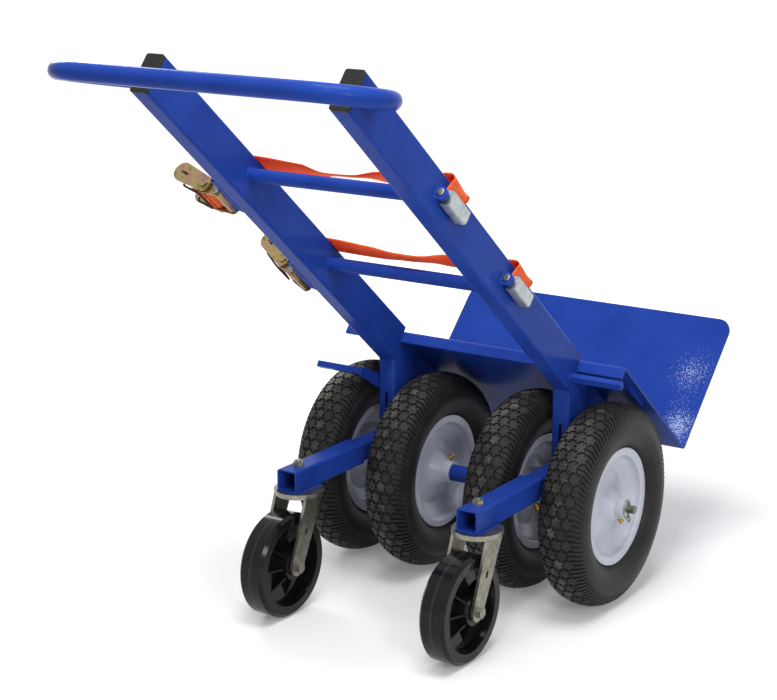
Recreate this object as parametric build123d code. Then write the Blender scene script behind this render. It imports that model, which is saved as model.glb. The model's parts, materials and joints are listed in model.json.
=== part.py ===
from build123d import *
import os
from math import acos, asin, atan2, cos, degrees, hypot, pi, radians, sin, sqrt

# An off-road hand truck: a leaning ladder frame on four pneumatic wheels, two swivel casters behind,
# a folded nose plate in front and two ratchet straps across the rails.
# Millimetres. +X to the operator's right, +Y forwards to the load, +Z up, floor at z = 0.

# Fits shared by every sub-assembly
running_clearance = 0.05
end_play = 0.3
soft_clearance = 0.3
weld_overlap = 2.0

# Pneumatic wheels
tyre_radius = 200.0
tyre_width = 98.5
tread_width = 76.0
tread_drop = 12.0
tyre_wall = 9.0
tread_thickness = 11.0
bead_width = 12.0
bead_heel = 4.0
flange_clearance = 1.0
rim_radius = 101.6
rim_flange_height = 13.4
rim_width = 63.5
rim_gauge = 3.0
rim_bowl_foot = 72.0
rim_neck_radius = 40.0
rim_neck_rise = 10.0
rim_hub_rise = 34.0
rim_bends = (3.0, 16.0, 8.0, 22.0)
hub_diameter = 44.0
hub_length = 102.0
bearing_diameter = 35.0
bearing_width = 11.0
valve_diameter = 8.0
valve_circle = 28.0
valve_length = 10.0
valve_cap_diameter = 9.6
valve_cap_length = 5.0
valve_angle = {"left_outer": 150.0, "left_inner": 42.0, "right_inner": -120.0, "right_outer": -65.0}
outer_wheel_gap = 10.0
inner_wheel_gap = 20.0

# Axle and its fittings
axle_diameter = 15.875
axle_tail = 11.7
washer_diameter = 36.0
washer_thickness = 3.0
cotter_diameter = 3.2
cotter_rise = 8.0
cotter_eye = 5.0
spacer_diameter = 27.0
sleeve_diameter = 33.4

# Frame tubes
rail_lean = 40.2
rail_x = 201.0
rail_width = 38.1
rail_depth = 76.2
rail_wall = 3.0
rail_corner = 5.0
rail_top = 968.0
cap_thickness = 6.0
cap_round = 1.5
cap_plug = 22.0
cap_plug_gap = 1.8
crossbar_diameter = 25.4
crossbar_wall = 2.5
crossbar_depth = 5.0
crossbar_at = (652.0, 337.0)
handle_diameter = 31.75
handle_wall = 3.2
handle_bend = 88.9
handle_tilt = 10.2
handle_drop = 24.5
handle_depth = 3.5
post_depth = 76.2
post_foot_drop = 35.0
post_slot_width = 6.0
post_slot_length = 60.0
gusset_gauge = 6.0
gusset_height = 126.0
gusset_reach = 120.0

# Nose plate
plate_gauge = 5.0
plate_width = 635.0
plate_setback = 10.0
plate_gap = 9.0
plate_above_knee = 23.5
plate_below_knee = 337.5
plate_bend = 6.0
flange_length = 25.4
flange_relief = 1.0
toe_length = 312.0
toe_angle = 94.7
toe_corner = 31.0
stay_x = 295.5
stay_width = 8.0
stay_gauge = 5.0
stay_span = (-134.0, -50.0)

# Caster arms and casters
arm_size = 44.45
arm_wall = 3.0
arm_tail = 38.0
arm_front_gap = 112.0
stub_size = 38.1
stub_wall = 3.0
stub_overlap = 50.0
caster_height = 237.6
caster_radius = 101.6
caster_width = 53.0
caster_trail = 57.0
caster_tuck = 18.6
caster_edge = 6.0
caster_rim = 22.0
caster_web = 16.0
caster_boss_diameter = 54.0
caster_rib_count = 8
caster_rib_gauge = 4.0
caster_rib_reach = 62.0
caster_disc_diameter = 96.0
caster_disc_thickness = 5.0
caster_boss_gap = 2.0
caster_slope = 6.0
crown_inset = 2.0
fork_gap = 65.0
fork_gauge = 6.0
fork_top_width = 52.0
fork_end_radius = 18.0
fork_slot_width = 7.0
fork_slot_length = 13.0
caster_axle_diameter = 12.7
caster_bearing_diameter = 28.0
kingbolt_diameter = 12.0
kingbolt_tail = 3.0
nut_size = 19.0
nut_height = 9.0

# Tyre brake levers
brake_pivot_drop = 43.0
brake_shaft_diameter = 12.0
brake_head_diameter = 18.0
brake_head_thickness = 1.2
brake_leg_gauge = 5.0
brake_leg_width = 30.0
brake_tip_width = 20.0
brake_reach = 104.0
brake_bar_size = 12.7
brake_bar_end = 331.0
brake_angle = {"left": 150.5, "right": 112.0}

# Straps, their anchors and their ratchets; heights run up the rails from the knee
strap_width = 50.0
strap_thickness = 2.0
strap_sag = 9.0
strap_lead = 12.0
strap_end = 8.0
strap_settle = 12.0
strap_bends = (200.0, 600.0, 200.0)
strap_at = (635.0, 348.0)
strap_names = ("upper", "lower")
anchor_offset = 4.0
anchor_stand = 3.0
anchor_pin_diameter = 10.0
ear_diameter = 23.0
ear_thickness = 8.0
clip_length = 64.0
clip_drop = 7.0
clip_width = 28.0
clip_depth = 21.0
clip_gauge = 2.5
clip_mouth = 6.5
bolt_head_diameter = 13.5
bolt_head_height = 4.0
bolt_head_round = 1.5
ratchet_offset = -20.0
ratchet_swing = (17.0, 35.5)
ratchet_pin_out = 24.0
ratchet_pin_depth = -32.0
mount_length = 100.0
mount_gauge = 6.0
mount_relief = 1.5
knuckle_diameter = 16.0
spool_reach = 32.0
spool_diameter = 16.0
spool_slot = 4.0
ratchet_inside = 60.0
ratchet_gauge = 3.0
ratchet_play = 0.4
frame_end_reach = 34.0
frame_pin_radius = 10.0
frame_spool_radius = 16.0
gear_diameter = 30.0
gear_tooth = 2.5
gear_teeth = 12
handle_end_reach = 59.0
handle_end_radius = 19.0
handle_pivot_radius = 15.0
grip_diameter = 10.0
grip_reach = 68.0
pull_reach = 50.5
pull_width = 7.0
pull_thickness = 4.0
pull_travel = 7.0
bail_wire = 4.0
bail_width = 52.0
bail_near = 6.0
bail_offset = 19.0
roll_gap = 0.5
roll_half_turns = 3
tail_on = "upper"
tail_start = -2.0
tail_length = 34.0

# Places that follow from the driving dimensions
lean = radians(rail_lean)
axle_height = tyre_radius
rail_outer = rail_x + rail_width / 2
rail_inner = rail_x - rail_width / 2
half_depth = rail_depth / 2
inner_wheel_x = rail_inner - inner_wheel_gap - tyre_width / 2
outer_wheel_x = rail_outer + outer_wheel_gap + tyre_width / 2
plate_front = half_depth - plate_setback
plate_rear = plate_front - plate_gauge
knee_height = axle_height + (tyre_radius + plate_gap - plate_rear) / cos(lean)
rail_frame = Plane(origin=(0, 0, knee_height), x_dir=(1, 0, 0), z_dir=(0, -cos(lean), sin(lean)))
arm_middle = caster_height + arm_size / 2
kingbolt_back = tyre_radius + caster_radius + caster_trail - caster_tuck
brake_height = axle_height + tyre_radius - brake_pivot_drop
sides = {"left": -1, "right": 1}
wheel_places = {
    "left_outer": -outer_wheel_x,
    "left_inner": -inner_wheel_x,
    "right_inner": inner_wheel_x,
    "right_outer": outer_wheel_x,
}


def from_rail(depth, along):
    # The (y, z) of a point given by its depth towards the load and its distance up the rail.
    y = -cos(lean) * along + sin(lean) * depth
    z = knee_height + sin(lean) * along + cos(lean) * depth
    return y, z


# The rail's rear face meets the post's rear face at the seam between them.
seam_along = (post_depth / 2 - sin(lean) * half_depth) / cos(lean)
seam_height = from_rail(-half_depth, seam_along)[1]

# The handle loop hangs from its two ends on the rails and tilts up towards the operator.
handle_end_y, handle_end_z = from_rail(handle_depth, rail_top - handle_drop)
handle_frame = Plane(
    origin=(0, handle_end_y, handle_end_z),
    x_dir=(1, 0, 0),
    z_dir=(0, sin(radians(handle_tilt)), cos(radians(handle_tilt))),
)
handle_rear_y = handle_end_y - 2 * handle_bend * cos(radians(handle_tilt))

# The toe leaves the fold at its own angle to the back of the nose plate.
toe_lean = pi - lean - radians(toe_angle)
fold_y = from_rail(plate_front - plate_gauge / 2, -plate_below_knee)[0]
toe_tip_y = fold_y + toe_length * cos(toe_lean) + plate_gauge / 2 * sin(toe_lean)
rear_y = handle_rear_y - handle_diameter / 2
part_shift = -(rear_y + toe_tip_y) / 2

nodes = {}


def keep(name, *solids):
    # Stores one node: a single solid, or a group of like pieces.
    shift = Pos(0, part_shift, 0)
    placed = [shift * solid for shape in solids for solid in shape.solids()]
    nodes[name] = placed[0] if len(placed) == 1 else Compound(children=placed)


def along_x(radius, start, end):
    # A round bar along X.
    bar = Cylinder(radius, end - start, align=(Align.CENTER, Align.CENTER, Align.MIN))
    return Pos(start, 0, 0) * Rot(0, 90, 0) * bar


def pipe_x(outer, inner, start, end):
    return along_x(outer, start, end) - along_x(inner, start, end)


def box_tube(width, depth, wall, corner, length):
    # A rectangular tube standing on z = 0.
    outside = RectangleRounded(width, depth, corner)
    inside = RectangleRounded(width - 2 * wall, depth - 2 * wall, max(corner - wall, 0.5))
    return extrude(outside - inside, length)


def hex_prism(across_flats, height):
    return extrude(RegularPolygon(across_flats / 2, 6, major_radius=False), height)


def hull_of(*circles):
    # The outline that wraps several (x, y, radius) circles.
    discs = [Pos(x, y) * Circle(radius) for x, y, radius in circles]
    return make_hull([edge for disc in discs for edge in disc.edges()])


def slab(outline, low, high):
    # A flat plate between two heights.
    return Pos(0, 0, low) * extrude(outline, high - low)


# Pneumatic wheels, drawn around X with x = 0 at the middle of the tyre
flange_radius = rim_radius + rim_flange_height
rim_half = rim_width / 2
hub_half = hub_length / 2
bell_end = hub_diameter / 2 - weld_overlap
bell_rise = rim_hub_rise - rim_neck_rise
bell_drop = rim_neck_radius - bell_end
# The valve stands square on the bell, where its middle line passes the valve circle
valve_x = rim_neck_rise + (rim_neck_radius - valve_circle) * bell_rise / bell_drop
valve_place = Pos(valve_x, valve_circle, 0) * Rot(0, 0, degrees(atan2(bell_rise, bell_drop)))


def make_tyre():
    # A hollow casing: crown, shoulders, bulged sidewalls and two beads on the rim.
    half = tyre_width / 2
    tread = tread_width / 2
    shoulder = tyre_radius - tread_drop
    bulge = (flange_radius + shoulder) / 2
    seat = rim_half - rim_gauge
    heel = seat - bead_heel
    lip = flange_radius + flange_clearance
    right = Polyline((heel, rim_radius), (seat, rim_radius + bead_heel), (seat, lip))
    right += TangentArc((half, bulge), (seat, lip), tangent=(0, -1))
    right += TangentArc((half, bulge), (tread, shoulder), tangent=(0, 1))
    crown = ThreePointArc((tread, shoulder), (0, tyre_radius), (-tread, shoulder))
    outer = right + crown + mirror(right, Plane.YZ) + Line((-heel, rim_radius), (heel, rim_radius))
    bead = seat - bead_width
    corner = (tread - tyre_wall, shoulder - tyre_wall)
    inside = ThreePointArc((bead, flange_radius), (half - tyre_wall, bulge), corner)
    roof = ThreePointArc(corner, (0, tyre_radius - tread_thickness), (-corner[0], corner[1]))
    throat = Polyline(
        (-bead, flange_radius), (-bead, rim_radius), (bead, rim_radius), (bead, flange_radius)
    )
    inner = inside + roof + mirror(inside, Plane.YZ) + throat
    return revolve(make_face(outer) - make_face(inner), Axis.X)


def rim_pressing():
    # One half of the two-piece rim, as a strip along its middle line: a bowl, then a bell up to the hub.
    flange_x = rim_half - rim_gauge / 2
    seat_radius = rim_radius - rim_gauge / 2
    line = FilletPolyline(
        (flange_x, flange_radius),
        (flange_x, seat_radius),
        (rim_half / 2, seat_radius),
        (0, rim_bowl_foot),
        (rim_neck_rise, rim_neck_radius),
        (rim_hub_rise, bell_end),
        radius=rim_bends,
    )
    return trace(line, line_width=rim_gauge)


def make_rim():
    # Two equal pressings back to back on a hub tube, each with a hole for the valve.
    strip = rim_pressing()
    rim = revolve(strip, Axis.X) + revolve(mirror(strip, Plane.YZ), Axis.X)
    rim += pipe_x(hub_diameter / 2, bearing_diameter / 2, -hub_half, hub_half)
    hole = valve_place * along_x(valve_diameter / 2, -rim_gauge, rim_gauge)
    return rim - hole - mirror(hole, Plane.YZ)


def make_bearings():
    outer = bearing_diameter / 2
    inner = axle_diameter / 2 + running_clearance
    return [pipe_x(outer, inner, x, x + bearing_width) for x in (-hub_half, hub_half - bearing_width)]


def make_valve():
    stem = along_x(valve_diameter / 2, -rim_gauge, valve_length)
    cap = along_x(valve_cap_diameter / 2, valve_length, valve_length + valve_cap_length)
    return valve_place * (stem + cap)


tyre = make_tyre()
rim = make_rim()
bearings = make_bearings()
valve = make_valve()
for wheel, x in wheel_places.items():
    place = Pos(x, 0, axle_height) * Rot(valve_angle[wheel], 0, 0)
    keep(f"{wheel}_tyre", place * tyre)
    keep(f"{wheel}_rim", place * rim)
    keep(f"{wheel}_bearings", *[place * bearing for bearing in bearings])
    keep(f"{wheel}_valve", place * valve)

# Axle, sleeve, spacers, washers and cotter pins
hub_outer_end = outer_wheel_x + hub_half
washer_start = hub_outer_end + end_play
cotter_x = washer_start + washer_thickness + end_play + cotter_diameter / 2
axle_end = cotter_x + axle_tail
at_axle = Pos(0, 0, axle_height)

axle = along_x(axle_diameter / 2, -axle_end, axle_end)
for side in sides.values():
    axle -= Pos(side * cotter_x, 0, 0) * Cylinder(cotter_diameter / 2, 2 * axle_diameter)
keep("axle", at_axle * axle)

bore = axle_diameter / 2
sleeve_end = inner_wheel_x - hub_half - end_play
keep("axle_sleeve", at_axle * pipe_x(sleeve_diameter / 2, bore, -sleeve_end, sleeve_end))
spacers, washers, cotters = [], [], []
for side in sides.values():
    flip = Rot(0, 0, 0 if side > 0 else 180)
    inside_gap = (inner_wheel_x + hub_half + end_play, rail_inner)
    outside_gap = (rail_outer, outer_wheel_x - hub_half - end_play)
    for start, end in (inside_gap, outside_gap):
        spacers.append(at_axle * flip * pipe_x(spacer_diameter / 2, bore, start, end))
    washer = pipe_x(washer_diameter / 2, bore, washer_start, washer_start + washer_thickness)
    washers.append(at_axle * flip * washer)
    tip = axle_diameter / 2 + cotter_rise
    eye_z = -axle_diameter / 2 - cotter_rise - cotter_eye
    pin = Pos(0, 0, tip) * Cylinder(
        cotter_diameter / 2, tip - eye_z - cotter_eye, align=(Align.CENTER, Align.CENTER, Align.MAX)
    )
    pin += Pos(0, 0, eye_z) * Rot(0, 90, 0) * Torus(cotter_eye, cotter_diameter / 2)
    cotters.append(at_axle * flip * Pos(cotter_x, 0, 0) * pin)
keep("axle_spacers", *spacers)
keep("axle_washers", *washers)
keep("cotter_pins", *cotters)

# Rails, their caps, crossbars and handle
below_seam = Pos(0, 0, seam_height) * Box(
    4 * rail_x, 4 * rail_top, 2 * rail_top, align=(Align.CENTER, Align.CENTER, Align.MAX)
)
plate_notch = Pos(0, plate_rear, plate_above_knee) * Box(
    4 * rail_x, rail_depth, 2 * rail_depth, align=(Align.CENTER, Align.MIN, Align.MAX)
)
caps, gussets, stubs = [], [], []
for name, side in sides.items():
    rail = Pos(side * rail_x, 0, -2 * rail_depth) * box_tube(
        rail_width, rail_depth, rail_wall, rail_corner, rail_top + 2 * rail_depth
    )
    keep(f"{name}_rail", rail_frame * (rail - plate_notch) - below_seam)
    lid = slab(RectangleRounded(rail_width, rail_depth, rail_corner), rail_top, rail_top + cap_thickness)
    lid = fillet(lid.faces().sort_by(Axis.Z)[-1].edges(), cap_round)
    inset = 2 * (rail_wall + cap_plug_gap)
    plug = slab(Rectangle(rail_width - inset, rail_depth - inset), rail_top - cap_plug, rail_top)
    caps.append(rail_frame * Pos(side * rail_x, 0, 0) * (lid + plug))

    # The post stands on the axle line and carries its rail, the caster arm's stub and a gusset.
    post_foot = axle_height - post_foot_drop
    post = box_tube(rail_width, post_depth, rail_wall, rail_corner, seam_height - post_foot)
    post = Pos(side * rail_x, 0, post_foot) * post
    post -= Pos(side * rail_x, 0, axle_height) * along_x(axle_diameter / 2, -rail_width, rail_width)
    shaft_hole = along_x(brake_shaft_diameter / 2 + running_clearance, -rail_width, rail_width)
    post -= Pos(side * rail_x, 0, brake_height) * shaft_hole
    slot = SlotOverall(post_slot_length, post_slot_width)
    slot_place = (side * rail_x, -post_depth / 2, brake_height - post_slot_length / 2)
    rear_face = Plane(origin=slot_place, x_dir=(0, 0, 1), z_dir=(0, 1, 0))
    post -= rear_face * extrude(slot, 2 * rail_wall, both=True)
    keep(f"{name}_post", post)

    # The gusset fills the corner between the post's front and the rear of the nose plate.
    top_along = (seam_height - knee_height - cos(lean) * plate_rear) / sin(lean)
    outline = Polyline(
        (post_depth / 2, seam_height),
        from_rail(plate_rear, top_along),
        from_rail(plate_rear, top_along - gusset_reach),
        (post_depth / 2, seam_height - gusset_height),
        close=True,
    )
    gusset = extrude(Plane.YZ * make_face(outline), gusset_gauge / 2, both=True)
    gussets.append(Pos(side * rail_x, 0, 0) * gusset)

    # A square stub on the post's rear slides into the front of the caster arm.
    arm_front = -post_depth / 2 - arm_front_gap
    arm_rear = -kingbolt_back - arm_tail
    stub_end = arm_front - stub_overlap
    backwards = Plane(origin=(side * rail_x, 0, arm_middle), x_dir=(1, 0, 0), z_dir=(0, -1, 0))
    stub_length = -stub_end - post_depth / 2
    stub = Pos(0, 0, post_depth / 2) * box_tube(stub_size, stub_size, stub_wall, rail_corner, stub_length)
    stubs.append(backwards * stub)
    arm = Pos(0, 0, -arm_front) * box_tube(arm_size, arm_size, arm_wall, rail_corner, arm_front - arm_rear)
    bolt_hole = Cylinder(kingbolt_diameter / 2, 2 * arm_size)
    at_bolt = Pos(side * rail_x, -kingbolt_back, arm_middle)
    keep(f"{name}_caster_arm", backwards * arm - at_bolt * bolt_hole)
keep("rail_end_caps", *caps)
keep("post_gussets", *gussets)
keep("arm_stubs", *stubs)

crossbars = []
for along in crossbar_at:
    bar = pipe_x(crossbar_diameter / 2, crossbar_diameter / 2 - crossbar_wall, -rail_inner, rail_inner)
    crossbars.append(rail_frame * Pos(0, crossbar_depth, along) * bar)
keep("crossbars", *crossbars)

# The handle loop: a half turn leaves each rail's side and ends in the long rear bar.
rear_offset = -2 * handle_bend
loop_tip = rail_outer + handle_bend
loop = ThreePointArc((rail_outer, 0), (loop_tip, rear_offset / 2), (rail_outer, rear_offset))
loop += Line((rail_outer, rear_offset), (-rail_outer, rear_offset))
loop += ThreePointArc((-rail_outer, rear_offset), (-loop_tip, rear_offset / 2), (-rail_outer, 0))
loop_start = Plane(origin=(rail_outer, 0, 0), x_dir=(0, 1, 0), z_dir=(1, 0, 0))
handle_section = Circle(handle_diameter / 2) - Circle(handle_diameter / 2 - handle_wall)
keep("handle_bar", handle_frame * sweep(loop_start * handle_section, loop.wire()))

# Nose plate: back, return flange along the top edge, a toe folded forwards and a stay near each side
bend_middle = plate_bend + plate_gauge / 2
middle_depth = plate_rear + plate_gauge / 2
flange_tip = from_rail(plate_front - flange_length, plate_above_knee - plate_gauge / 2)
flange_corner = from_rail(middle_depth, plate_above_knee - plate_gauge / 2)
fold_corner = from_rail(middle_depth, -plate_below_knee)
toe_tip = (fold_corner[0] + toe_length * cos(toe_lean), fold_corner[1] + toe_length * sin(toe_lean))
plate_line = FilletPolyline(
    flange_tip, flange_corner, fold_corner, toe_tip, radius=(plate_gauge, bend_middle)
)
plate = extrude(Plane.YZ * trace(plate_line, line_width=plate_gauge), plate_width / 2, both=True)
flange_cut = Box(
    rail_width + 2 * flange_relief,
    2 * flange_length,
    3 * plate_gauge,
    align=(Align.CENTER, Align.MAX, Align.CENTER),
)
for side in sides.values():
    plate -= rail_frame * Pos(side * rail_x, plate_rear, plate_above_knee) * flange_cut
tip_edges = plate.edges().filter_by(lambda edge: edge.length < 1.01 * plate_gauge).group_by(Axis.Y)[-1]
plate = fillet(tip_edges, toe_corner)
stay = Pos(0, plate_rear, stay_span[0]) * Box(
    stay_width, stay_gauge, stay_span[1] - stay_span[0], align=(Align.CENTER, Align.MAX, Align.MIN)
)
for side in sides.values():
    plate += rail_frame * Pos(side * stay_x, 0, 0) * stay
keep("nose_plate", plate)

# Casters
fork_crown_top = caster_height - caster_disc_thickness - end_play
fork_crown_bottom = fork_crown_top - caster_disc_thickness
caster_axle_y = -kingbolt_back - caster_trail
leg_outer = fork_gap / 2 + fork_gauge


def make_fork():
    # A crown disc with two raked legs, drawn with the kingbolt on the Z axis.
    crown_radius = caster_disc_diameter / 2 - crown_inset
    crown = Pos(0, 0, fork_crown_bottom) * Cylinder(
        crown_radius, caster_disc_thickness, align=(Align.CENTER, Align.CENTER, Align.MIN)
    )
    bolt_hole = Cylinder(kingbolt_diameter / 2 + running_clearance, 6 * caster_disc_thickness)
    crown -= Pos(0, 0, fork_crown_bottom) * bolt_hole
    top_height = fork_crown_bottom + caster_disc_thickness / 2
    top = Pos(0, top_height) * Rectangle(fork_top_width, caster_disc_thickness)
    end = Pos(-caster_trail, caster_radius) * Circle(fork_end_radius)
    leg = make_hull(top.edges() + end.edges())
    leg -= Pos(-caster_trail, caster_radius) * Circle(caster_axle_diameter / 2)
    slot_middle = (fork_crown_bottom + caster_radius) / 2
    leg_rise = fork_crown_bottom - caster_radius
    rake = degrees(acos(leg_rise / hypot(caster_trail, leg_rise)))
    slot = SlotOverall(fork_slot_length, fork_slot_width)
    leg -= Pos(-caster_trail / 2, slot_middle) * Rot(0, 0, 90 - rake) * slot
    plate_of_leg = extrude(Plane.YZ * leg, fork_gauge)
    return crown + Pos(fork_gap / 2, 0, 0) * plate_of_leg + Pos(-leg_outer, 0, 0) * plate_of_leg


def make_caster_wheel():
    # A moulded wheel: thick tread ring, thin web, long boss and short ribs on both sides.
    half = caster_width / 2
    boss = caster_boss_diameter / 2
    boss_half = fork_gap / 2 - caster_boss_gap
    boss_foot = boss + caster_slope
    ring = caster_radius - caster_rim
    ring_foot = ring - caster_slope
    outline = Polyline(
        (boss_half, caster_bearing_diameter / 2),
        (boss_half, boss),
        (caster_web / 2, boss_foot),
        (caster_web / 2, ring_foot),
        (half, ring),
        (half, caster_radius - caster_edge),
        (half - caster_edge, caster_radius),
        (caster_edge - half, caster_radius),
        (-half, caster_radius - caster_edge),
        (-half, ring),
        (-caster_web / 2, ring_foot),
        (-caster_web / 2, boss_foot),
        (-boss_half, boss),
        (-boss_half, caster_bearing_diameter / 2),
        close=True,
    )
    wheel = revolve(make_face(outline), Axis.X)
    rib_root = boss - weld_overlap
    rib_outline = Polyline(
        (0, rib_root),
        (half, rib_root),
        (caster_web / 2, caster_rib_reach),
        (0, caster_rib_reach),
        close=True,
    )
    rib = extrude(make_face(rib_outline), caster_rib_gauge / 2, both=True)
    for index in range(caster_rib_count):
        turn = Rot(360 / caster_rib_count * index, 0, 0)
        wheel += turn * rib
        wheel += turn * mirror(rib, Plane.YZ)
    return wheel


def make_caster_axle():
    bolt = along_x(caster_axle_diameter / 2, -leg_outer - nut_height, leg_outer + nut_height)
    for side in sides.values():
        head = Pos(side * leg_outer, 0, 0) * Rot(0, side * 90, 0) * hex_prism(nut_size, nut_height)
        bolt += head
    return bolt


def make_kingbolt():
    head_low = fork_crown_bottom - end_play - nut_height
    shank = Pos(0, 0, head_low) * Cylinder(
        kingbolt_diameter / 2,
        caster_height + arm_size + nut_height + kingbolt_tail - head_low,
        align=(Align.CENTER, Align.CENTER, Align.MIN),
    )
    head = Pos(0, 0, head_low) * hex_prism(nut_size, nut_height)
    return shank + head + Pos(0, 0, caster_height + arm_size) * hex_prism(nut_size, nut_height)


fork = make_fork()
caster_wheel = make_caster_wheel()
caster_axle = make_caster_axle()
kingbolt = make_kingbolt()
bearing_half = fork_gap / 2 - end_play
bearing_bore = caster_axle_diameter / 2 + running_clearance
bearing = pipe_x(caster_bearing_diameter / 2, bearing_bore, -bearing_half, bearing_half)
top_disc = Cylinder(
    caster_disc_diameter / 2, caster_disc_thickness, align=(Align.CENTER, Align.CENTER, Align.MAX)
)
top_disc -= Cylinder(kingbolt_diameter / 2, 4 * caster_disc_thickness)
kingbolts, top_discs = [], []
for name, side in sides.items():
    at_bolt = Pos(side * rail_x, -kingbolt_back, 0)
    at_hub = Pos(side * rail_x, caster_axle_y, caster_radius)
    keep(f"{name}_caster_fork", at_bolt * fork)
    keep(f"{name}_caster_wheel", at_hub * caster_wheel)
    keep(f"{name}_caster_bearing", at_hub * bearing)
    keep(f"{name}_caster_axle", at_hub * caster_axle)
    kingbolts.append(at_bolt * kingbolt)
    top_discs.append(at_bolt * Pos(0, 0, caster_height) * top_disc)
keep("caster_kingbolts", *kingbolts)
keep("caster_top_plates", *top_discs)

# Tyre brake levers: a leg on a shaft through the post and a bar that swings down on to the outer tyre
for name, side in sides.items():
    leg_start = rail_outer + end_play
    leg_end = leg_start + brake_leg_gauge
    leg = hull_of((0, 0, brake_leg_width / 2), (brake_reach, 0, brake_tip_width / 2))
    lever = Pos(leg_start, 0, 0) * extrude(Plane.YZ * leg, brake_leg_gauge)
    bar = Pos((leg_start + brake_bar_end) / 2, brake_reach, 0) * Box(
        brake_bar_end - leg_start, brake_bar_size, brake_bar_size
    )
    head_start = rail_inner - end_play - brake_head_thickness
    shaft = along_x(brake_shaft_diameter / 2, head_start, leg_end)
    shaft += along_x(brake_head_diameter / 2, head_start, head_start + brake_head_thickness)
    lever += bar
    lever += shaft
    turned = Rot(brake_angle[name], 0, 0) * lever
    if side < 0:
        turned = mirror(turned, Plane.YZ)
    keep(f"{name}_brake_lever", Pos(0, 0, brake_height) * turned)

# Straps: from a ratchet on the left rail, over both load faces, to an anchor on the right rail.
# They are drawn in the rails' frame, across the rails and towards the load.
strap_half = strap_width / 2
face_gap = soft_clearance + strap_thickness / 2
strap_side = rail_outer + face_gap
strap_over = half_depth + face_gap
loop_radius = anchor_pin_diameter / 2 + face_gap
loop_side = strap_side + anchor_stand
anchor_pin_x = loop_side + loop_radius
ratchet_pin_x = -rail_outer - ratchet_pin_out
roll_pitch = strap_thickness + roll_gap
roll_start = spool_diameter / 2 + face_gap + roll_pitch / 4
roll_outer = roll_start + (roll_half_turns - 0.5) * roll_pitch / 2 + strap_thickness / 2
frame_plate = ratchet_inside / 2
gear_low = frame_plate + ratchet_gauge + ratchet_play
handle_low = gear_low + ratchet_gauge + ratchet_play
handle_high = handle_low + ratchet_gauge


def strap_path(run_start):
    # The middle line from the left rail's corner to the loop round the anchor bolt.
    turn = rail_corner + face_gap
    line = FilletPolyline(
        run_start,
        (-strap_side, strap_over),
        (-rail_inner + strap_lead, strap_over),
        (0, strap_over - strap_sag),
        (rail_inner - strap_lead, strap_over),
        (strap_side, strap_over),
        (loop_side, strap_settle),
        (loop_side, 0),
        radius=(turn, *strap_bends, turn, strap_settle),
    )
    far_side = anchor_pin_x + loop_radius
    line += ThreePointArc((loop_side, 0), (anchor_pin_x, -loop_radius), (far_side, 0))
    return line + Line((far_side, 0), (far_side, strap_end))


def make_strap(along, swing):
    # The strap's flat course, and the slanting run down to the ratchet's spool.
    spool_x = ratchet_pin_x - spool_reach * cos(swing)
    spool_depth = ratchet_pin_depth + spool_reach * sin(swing)
    to_spool = Vector(spool_x + strap_side, spool_depth - strap_over)
    winding = roll_outer - strap_thickness / 2
    heading = to_spool.normalized().rotate(Axis.Z, -degrees(asin(winding / to_spool.length)))
    inner_face = winding - strap_thickness / 2
    short = sqrt((roll_outer + soft_clearance) ** 2 - inner_face**2)
    run_length = sqrt(to_spool.length**2 - winding**2) - short
    corner = Vector(-strap_side, strap_over)
    run_start = corner + heading * (rail_corner + face_gap)
    run_end = corner + heading * run_length + Vector(0, 0, ratchet_offset)
    path = strap_path((run_start.X, run_start.Y))
    course = extrude(trace(path, line_width=strap_thickness), strap_half, both=True)
    ends = [Plane(origin=point, x_dir=(0, 0, 1), z_dir=heading) for point in (run_start, run_end)]
    run = loft([end * Rectangle(strap_width, strap_thickness) for end in ends], ruled=True)
    return rail_frame * Pos(0, 0, along) * (course + run)


def ratchet_place(along, swing):
    # The spool's axis, with local x towards the handle's end and local z up the rail.
    spool_x = ratchet_pin_x - spool_reach * cos(swing)
    spool_depth = ratchet_pin_depth + spool_reach * sin(swing)
    at_spool = Pos(spool_x, spool_depth, along + ratchet_offset)
    return rail_frame * at_spool * Rot(0, 0, 180 - degrees(swing))


def both_sides(outline, low, high):
    # The same plate on each side of the ratchet.
    return slab(outline, low, high) + slab(outline, -high, -low)


def make_ratchet_frame():
    outline = hull_of(
        (-spool_reach, 0, frame_pin_radius),
        (0, 0, frame_spool_radius),
        (frame_end_reach, 0, frame_pin_radius),
    )
    outline -= Circle(spool_diameter / 2 + running_clearance)
    outline -= Pos(-spool_reach, 0) * Circle(anchor_pin_diameter / 2)
    floor = Pos(frame_end_reach, 0, 0) * Box(frame_pin_radius, ratchet_gauge, ratchet_inside)
    return both_sides(outline, frame_plate, frame_plate + ratchet_gauge) + floor


def make_spool():
    # A split shaft with a ratchet wheel near each end.
    shaft = Cylinder(spool_diameter / 2, 2 * (handle_high + ratchet_gauge))
    shaft -= Box(2 * spool_diameter, spool_slot, strap_width + 2 * end_play)
    points = []
    for tooth in range(gear_teeth):
        turn = 2 * pi * tooth / gear_teeth
        for radius in (gear_diameter / 2 - gear_tooth, gear_diameter / 2):
            points.append((radius * cos(turn), radius * sin(turn)))
    gear = make_face(Polyline(*points, close=True))
    return shaft + both_sides(gear, gear_low, gear_low + ratchet_gauge)


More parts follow.
